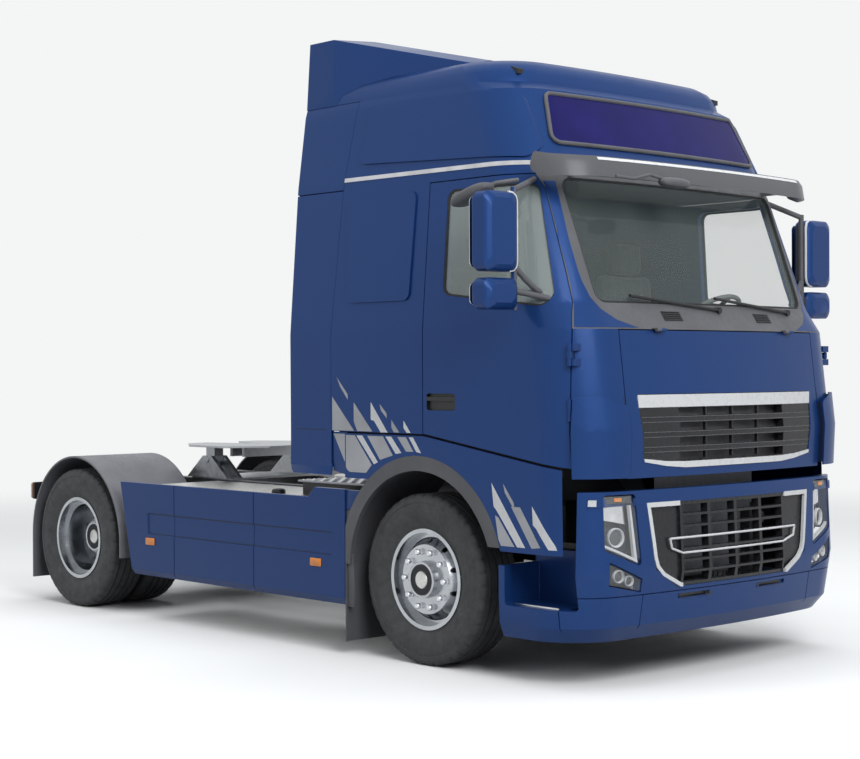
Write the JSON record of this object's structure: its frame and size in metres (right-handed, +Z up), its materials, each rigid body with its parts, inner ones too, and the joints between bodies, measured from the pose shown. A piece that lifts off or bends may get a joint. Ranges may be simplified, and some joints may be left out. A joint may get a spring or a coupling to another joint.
{
  "type": "semi truck tractor unit",
  "caption": "Two-axle cab-over tractor unit with a high-roof sleeper cab, side skirts, roof deflector and a fifth wheel; doors, cab, lid, steering and wheels move.",
  "frame": {"origin": "on the ground under the middle of the overall length and width", "axes": "+X forward, +Y to the vehicle's left, +Z up"},
  "size_m": [5.832, 3.2, 3.841],
  "materials": {
    "paint_blue": "gloss metallic",
    "paint_grey": "satin",
    "frame_paint": "satin",
    "dark_plastic": "textured matt",
    "grille_plastic": "gloss",
    "lamp_clear": "clear",
    "glazing": "tinted",
    "violet_sign": "gloss",
    "steel_dark": "painted castings",
    "aluminium": "brushed",
    "chrome": "polished",
    "tyre": "matt",
    "fabric_grey": "woven",
    "interior_plastic": "grained",
    "steel_coupling": "greased steel"
  },
  "bodies": {
    "chassis": {"frame": "frame_paint", "bumper": "paint_blue", "lower_grille": "grille_plastic", "lamps": "lamp_clear", "radiator": "steel_dark", "powertrain": "steel_dark", "front_axle": "steel_dark", "rear_axle": "steel_dark", "suspension": "steel_dark", "fuel_tanks": "aluminium", "side_skirts": "paint_blue", "catwalk": "aluminium", "coupling_base": "steel_coupling", "rear_fenders": "dark_plastic", "front_fenders": "dark_plastic", "fender_panels": "paint_blue", "step_boxes": "dark_plastic"},
    "cab": {"cab_floor": "interior_plastic", "cab_rear_wall": "paint_blue", "cab_sides": "paint_blue", "cab_roof": "paint_blue", "cab_front": "dark_plastic", "windscreen": "glazing", "corner_panels": "paint_blue", "sun_visor": "paint_grey", "sign_panel": "violet_sign", "roof_deflector": "paint_blue", "side_fairings": "paint_blue", "dashboard": "interior_plastic", "seats": "fabric_grey", "bunk": "fabric_grey", "wipers": "dark_plastic", "roof_lamps": "dark_plastic"},
    "door_left": {"door_left": "paint_blue", "door_glass_left": "glazing", "mirrors_left": "paint_blue"},
    "door_right": {"door_right": "paint_blue", "door_glass_right": "glazing", "mirrors_right": "paint_blue"},
    "front_lid": {"front_lid": "paint_blue", "upper_grille": "grille_plastic"},
    "steering_wheel": {"steering_wheel": "interior_plastic"},
    "knuckle_left": {"knuckle_left": "steel_dark"},
    "knuckle_right": {"knuckle_right": "steel_dark"},
    "tie_rod": {"tie_rod": "steel_dark"},
    "wheel_front_left": {"wheel_front_left": "chrome", "tyre_front_left": "tyre"},
    "wheels_rear_left": {"wheels_rear_left": "chrome", "tyres_rear_left": "tyre"},
    "wheel_front_right": {"wheel_front_right": "chrome", "tyre_front_right": "tyre"},
    "wheels_rear_right": {"wheels_rear_right": "chrome", "tyres_rear_right": "tyre"},
    "fifth_wheel": {"fifth_wheel": "steel_coupling", "kingpin_jaw": "steel_coupling"}
  },
  "joints": [
    {"name": "cab_tilt", "type": "hinge", "parent": "chassis", "child": "cab", "pos_m": [2.7115, 0, 0.85], "axis": [0, 1, 0], "range_deg": [0, 55]},
    {"name": "door_left_swing", "type": "hinge", "parent": "cab", "child": "door_left", "pos_m": [2.7015, 1.192, 1.5], "axis": [0, 0, -1], "range_deg": [0, 75]},
    {"name": "door_right_swing", "type": "hinge", "parent": "cab", "child": "door_right", "pos_m": [2.7015, -1.192, 1.5], "axis": [0, 0, 1], "range_deg": [0, 75]},
    {"name": "front_lid_lift", "type": "hinge", "parent": "cab", "child": "front_lid", "pos_m": [2.8475, 0, 1.959], "axis": [0, -1, 0], "range_deg": [0, 80]},
    {"name": "steer_right", "type": "hinge", "parent": "chassis", "child": "knuckle_right", "pos_m": [1.5115, -0.86, 0.507], "axis": [0, 0, 1], "range_deg": [-42, 42]},
    {"name": "steer_left", "type": "hinge", "parent": "chassis", "child": "knuckle_left", "pos_m": [1.5115, 0.86, 0.507], "axis": [0, 0, 1], "range_deg": [-42, 42]},
    {"name": "tie_rod_pivot", "type": "hinge", "parent": "knuckle_right", "child": "tie_rod", "pos_m": [1.3115, -0.8, 0.33], "axis": [0, 0, 1], "range_deg": [-42, 42]},
    {"name": "steering_wheel_turn", "type": "hinge", "parent": "cab", "child": "steering_wheel", "pos_m": [2.2015, 0.64, 2.06], "axis": [-0.5736, 0, 0.8192], "range_deg": [-756, 756]},
    {"name": "wheel_front_left_roll", "type": "hinge", "parent": "knuckle_left", "child": "wheel_front_left", "pos_m": [1.5115, 1.025, 0.507], "axis": [0, 1, 0], "continuous": true},
    {"name": "wheel_front_right_roll", "type": "hinge", "parent": "knuckle_right", "child": "wheel_front_right", "pos_m": [1.5115, -1.025, 0.507], "axis": [0, 1, 0], "continuous": true},
    {"name": "wheels_rear_left_roll", "type": "hinge", "parent": "chassis", "child": "wheels_rear_left", "pos_m": [-2.1885, 0.9185, 0.507], "axis": [0, 1, 0], "continuous": true},
    {"name": "wheels_rear_right_roll", "type": "hinge", "parent": "chassis", "child": "wheels_rear_right", "pos_m": [-2.1885, -0.9185, 0.507], "axis": [0, 1, 0], "continuous": true},
    {"name": "fifth_wheel_pitch", "type": "hinge", "parent": "chassis", "child": "fifth_wheel", "pos_m": [-1.6085, 0, 1.078], "axis": [0, 1, 0], "range_deg": [-12, 12]}
  ],
  "couplings": [
    {"joint": "steer_left", "follows": "steer_right", "ratio": 1},
    {"joint": "tie_rod_pivot", "follows": "steer_right", "ratio": -1},
    {"joint": "steering_wheel_turn", "follows": "steer_right", "ratio": 18}
  ]
}
